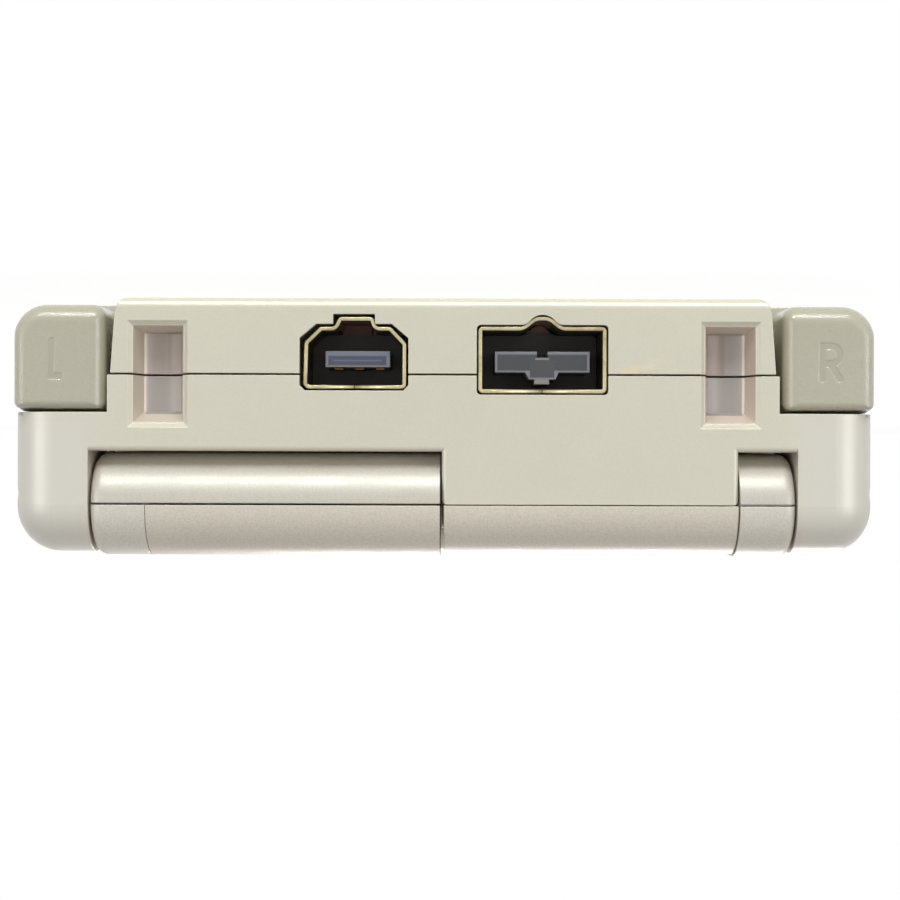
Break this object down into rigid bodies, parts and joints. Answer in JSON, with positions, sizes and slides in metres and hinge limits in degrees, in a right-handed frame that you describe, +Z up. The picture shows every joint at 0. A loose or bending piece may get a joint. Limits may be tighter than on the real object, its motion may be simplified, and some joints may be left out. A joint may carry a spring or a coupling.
{
  "type": "clamshell handheld game console",
  "caption": "Folding handheld game console: base with buttons, ports and cartridge slot, lid with screen on a rear barrel hinge, shown closed.",
  "frame": {"origin": "middle of the underside of the closed console", "axes": "+X to the player's right, +Y to the rear edge with hinge and ports, +Z up through the lid"},
  "size_m": [0.083, 0.0846, 0.0245],
  "materials": {
    "shell_cream": "satin pearl cream",
    "shell_pearl": "satin pearl white",
    "button_grey": "satin grey",
    "port_metal": "nickel plate, slightly tarnished",
    "steel": "plain",
    "dark_plastic": "matt",
    "tongue_plastic": "matt",
    "gold_contact": "gold plate",
    "board_green": "solder mask",
    "battery_wrap": "wrapped cell",
    "membrane_rubber": "silicone",
    "bumper_rubber": "matt",
    "lens_clear": "clear with dark frame",
    "light_clear": "clear acrylic",
    "cable_amber": "polyimide film"
  },
  "bodies": {
    "base": {"base_lower_shell": "shell_cream", "base_upper_shell": "shell_cream", "hinge_centre_cover": "shell_cream", "hinge_caps": "shell_cream", "battery_door": "shell_cream", "battery_door_screw": "steel", "battery": "battery_wrap", "battery_contacts": "gold_contact", "base_screws": "steel", "main_board": "board_green", "board_chips": "dark_plastic", "cartridge_guide": "shell_cream", "cartridge_connector": "dark_plastic", "speaker": "dark_plastic", "led_light_pipe": "light_clear", "link_port_shell": "port_metal", "link_port_core": "tongue_plastic", "link_port_contacts": "gold_contact", "power_port_shell": "port_metal", "power_port_core": "tongue_plastic", "power_port_contacts": "gold_contact", "dpad_membrane": "membrane_rubber", "action_membrane": "membrane_rubber", "menu_membrane": "membrane_rubber", "shoulder_pins": "steel", "shoulder_springs": "steel", "shoulder_switches": "dark_plastic", "power_switch_body": "dark_plastic", "volume_potentiometer": "dark_plastic", "hinge_pin": "steel", "hinge_clutch_shaft": "steel", "display_cable_base": "cable_amber"},
    "lid": {"lid_outer_shell": "shell_pearl", "lid_inner_shell": "shell_pearl", "knuckle_cover": "shell_cream", "screen_lens": "lens_clear", "light_guide": "light_clear", "display_panel": "dark_plastic", "lid_bumpers": "bumper_rubber", "lid_screws": "steel", "hinge_clutch_body": "steel", "display_cable_lid": "cable_amber"},
    "shoulder_button_left": {"shoulder_button_left": "button_grey"},
    "shoulder_button_right": {"shoulder_button_right": "button_grey"},
    "dpad_pivot": {"dpad_pivot": "steel"},
    "dpad": {"dpad": "button_grey"},
    "button_a": {"button_a": "button_grey"},
    "button_b": {"button_b": "button_grey"},
    "button_start": {"button_start": "button_grey"},
    "button_select": {"button_select": "button_grey"},
    "button_light": {"button_light": "button_grey"},
    "power_switch_knob": {"power_switch_knob": "button_grey"},
    "volume_slider_knob": {"volume_slider_knob": "button_grey"}
  },
  "joints": [
    {"name": "lid_hinge", "type": "hinge", "parent": "base", "child": "lid", "pos_m": [0, 0.03737, 0.01957], "axis": [-1, 0, 0], "range_deg": [0, 155]},
    {"name": "shoulder_left_press", "type": "hinge", "parent": "base", "child": "shoulder_button_left", "pos_m": [-0.0332, 0.03328, 0.0055], "axis": [0, 0, 1], "range_deg": [0, 5], "stiffness_Nm_per_rad": 0.05, "springref_deg": -3.44, "deforming": ["shoulder_springs"]},
    {"name": "shoulder_right_press", "type": "hinge", "parent": "base", "child": "shoulder_button_right", "pos_m": [0.0332, 0.03328, 0.0055], "axis": [0, 0, -1], "range_deg": [0, 5], "stiffness_Nm_per_rad": 0.05, "springref_deg": -3.44, "deforming": ["shoulder_springs"]},
    {"name": "dpad_tilt_x", "type": "hinge", "parent": "base", "child": "dpad_pivot", "pos_m": [-0.0255, 0.00105, 0.01122], "axis": [1, 0, 0], "range_deg": [-2.8, 2.8], "stiffness_Nm_per_rad": 0.02, "deforming": ["dpad_membrane"]},
    {"name": "dpad_tilt_y", "type": "hinge", "parent": "dpad_pivot", "child": "dpad", "pos_m": [-0.0255, 0.00105, 0.01122], "axis": [0, 1, 0], "range_deg": [-2.8, 2.8], "stiffness_Nm_per_rad": 0.02, "deforming": ["dpad_membrane"]},
    {"name": "button_a_press", "type": "slide", "parent": "base", "child": "button_a", "axis": [0, 0, -1], "range_m": [0, 0.0008], "stiffness_N_per_m": 400, "springref_m": -0.001, "deforming": ["action_membrane"]},
    {"name": "button_b_press", "type": "slide", "parent": "base", "child": "button_b", "axis": [0, 0, -1], "range_m": [0, 0.0008], "stiffness_N_per_m": 400, "springref_m": -0.001, "deforming": ["action_membrane"]},
    {"name": "button_start_press", "type": "slide", "parent": "base", "child": "button_start", "axis": [0, 0, -1], "range_m": [0, 0.0007], "stiffness_N_per_m": 400, "springref_m": -0.001, "deforming": ["menu_membrane"]},
    {"name": "button_select_press", "type": "slide", "parent": "base", "child": "button_select", "axis": [0, 0, -1], "range_m": [0, 0.0007], "stiffness_N_per_m": 400, "springref_m": -0.001, "deforming": ["menu_membrane"]},
    {"name": "button_light_press", "type": "slide", "parent": "base", "child": "button_light", "axis": [0, 0, -1], "range_m": [0, 0.0005], "stiffness_N_per_m": 400, "springref_m": -0.001, "deforming": ["menu_membrane"]},
    {"name": "power_switch_slide", "type": "slide", "parent": "base", "child": "power_switch_knob", "axis": [0, 1, 0], "range_m": [0, 0.003]},
    {"name": "volume_slide", "type": "slide", "parent": "base", "child": "volume_slider_knob", "axis": [0, 1, 0], "range_m": [0, 0.005]}
  ]
}
